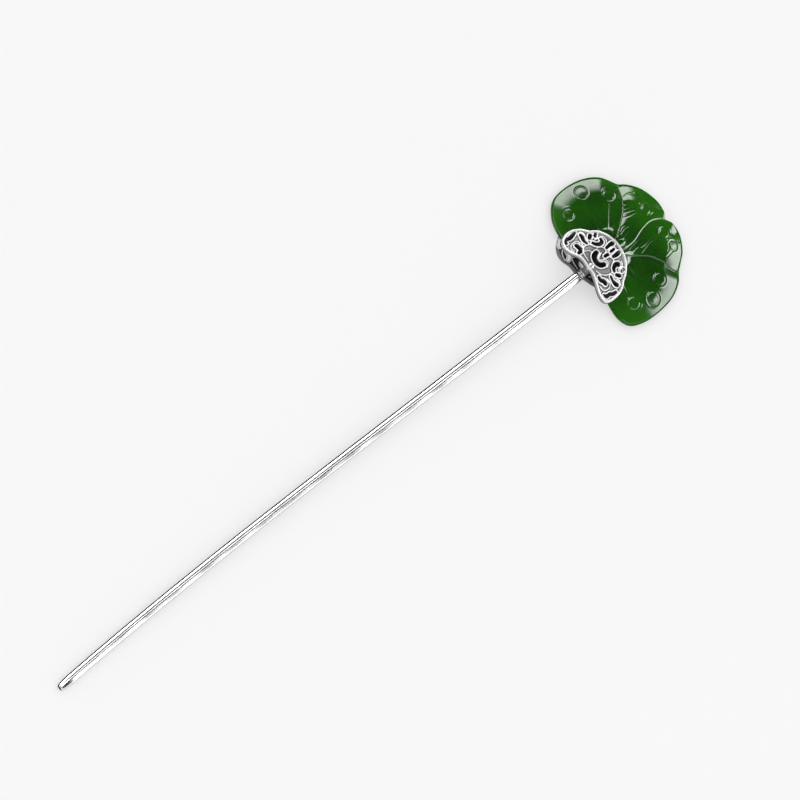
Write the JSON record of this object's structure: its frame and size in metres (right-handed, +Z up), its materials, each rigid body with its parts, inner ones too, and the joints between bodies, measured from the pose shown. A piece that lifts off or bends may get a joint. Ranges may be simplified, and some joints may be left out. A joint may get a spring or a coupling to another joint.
{
  "type": "hair stick",
  "caption": "Slender silver hair stick with a carved green jade fan held between two pierced scrollwork leaves.",
  "frame": {"origin": "centre of the pin's box, on the surface it lies on", "axes": "+X along the shaft towards the jade's crest, +Y to the left wing seen from above with the crest away, +Z up out of the carved front"},
  "size_m": [0.1854, 0.0344, 0.0075],
  "materials": {
    "shaft_silver": "polished",
    "leaf_silver": "satin",
    "jade": "gloss"
  },
  "bodies": {
    "root": {"shaft": "shaft_silver", "neck_collar": "shaft_silver", "waist_post": "shaft_silver", "front_leaf": "leaf_silver", "front_rim_wire": "leaf_silver", "back_leaf": "leaf_silver", "jade_fan": "jade"}
  },
  "joints": []
}
